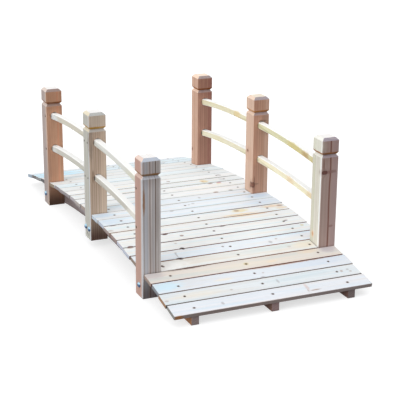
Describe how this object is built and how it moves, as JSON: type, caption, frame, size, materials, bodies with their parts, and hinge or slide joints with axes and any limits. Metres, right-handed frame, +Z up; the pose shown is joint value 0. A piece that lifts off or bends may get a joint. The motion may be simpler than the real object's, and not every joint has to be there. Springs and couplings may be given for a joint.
{
  "type": "arched garden footbridge with post-and-rail sides",
  "caption": "Low arched wooden garden bridge: cross boards on curved beams, with grooved square posts and bowed rails along both sides.",
  "frame": {"origin": "on the ground under the middle of the bridge", "axes": "+X along the walk towards the front end, +Y across towards the right-hand railing, +Z up"},
  "size_m": [1.524, 0.67, 0.4701],
  "materials": {
    "beams": "planed bare softwood",
    "deck_boards": "planed bare softwood",
    "post_back_left": "planed bare softwood",
    "post_back_right": "planed bare softwood",
    "post_front_left": "planed bare softwood",
    "post_front_right": "planed bare softwood",
    "post_middle_left": "planed bare softwood",
    "post_middle_right": "planed bare softwood",
    "rails_left": "planed bare softwood",
    "rails_right": "planed bare softwood"
  },
  "bodies": {
    "root": {"beam_left": "beams", "beam_middle": "beams", "beam_right": "beams", "deck_board_01": "deck_boards", "deck_board_02": "deck_boards", "deck_board_03": "deck_boards", "deck_board_04": "deck_boards", "deck_board_05": "deck_boards", "deck_board_06": "deck_boards", "deck_board_07": "deck_boards", "deck_board_08": "deck_boards", "deck_board_09": "deck_boards", "deck_board_10": "deck_boards", "deck_board_11": "deck_boards", "deck_board_12": "deck_boards", "deck_board_13": "deck_boards", "deck_board_14": "deck_boards", "deck_board_15": "deck_boards", "deck_board_16": "deck_boards", "deck_board_17": "deck_boards", "deck_board_18": "deck_boards", "deck_board_19": "deck_boards", "deck_board_20": "deck_boards", "deck_board_21": "deck_boards", "deck_board_22": "deck_boards", "deck_board_23": "deck_boards", "deck_board_24": "deck_boards", "deck_board_25": "deck_boards", "post_back_left": "post_back_left", "post_back_right": "post_back_right", "post_front_left": "post_front_left", "post_front_right": "post_front_right", "post_middle_left": "post_middle_left", "post_middle_right": "post_middle_right", "rail_back_left_low": "rails_left", "rail_back_left_top": "rails_left", "rail_back_right_low": "rails_right", "rail_back_right_top": "rails_right", "rail_front_left_low": "rails_left", "rail_front_left_top": "rails_left", "rail_front_right_low": "rails_right", "rail_front_right_top": "rails_right"}
  },
  "joints": []
}
